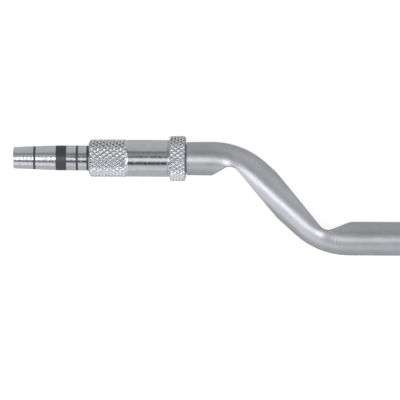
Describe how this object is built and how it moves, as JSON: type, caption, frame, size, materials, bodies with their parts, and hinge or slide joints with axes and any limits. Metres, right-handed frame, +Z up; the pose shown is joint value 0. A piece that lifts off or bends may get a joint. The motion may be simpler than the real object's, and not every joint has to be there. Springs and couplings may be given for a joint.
{
  "type": "osteotome",
  "caption": "Dental osteotome with a concave tip, depth marks, a knurled stop sleeve held by a lock nut, and a slim round handle set off to one side by a bayonet bend.",
  "frame": {"origin": "bottom centre of the instrument's box as it lies on its side, half way between the tip rim and the striking end", "axes": "+X runs along the handle from the tip to the striking end, +Y points from the handle to the side of the tip, +Z is up"},
  "size_m": [0.165, 0.0224, 0.0087],
  "materials": {
    "satin_steel": "satin blasted stainless steel, polished at the tip, with dark laser depth marks",
    "polished_steel": "turned and polished stainless steel with bright diamond knurling"
  },
  "bodies": {
    "shaft": {"shaft": "satin_steel"},
    "stop_sleeve": {"stop_sleeve": "polished_steel"},
    "lock_nut": {"lock_nut": "polished_steel"}
  },
  "joints": [
    {"name": "stop_travel", "type": "slide", "parent": "shaft", "child": "stop_sleeve", "axis": [-1, 0, 0], "range_m": [0, 0.01]},
    {"name": "lock_nut_turn", "type": "hinge", "parent": "stop_sleeve", "child": "lock_nut", "pos_m": [-0.0516, 0.00683, 0.00432], "axis": [1, 0, 0], "range_deg": [0, 180]}
  ]
}
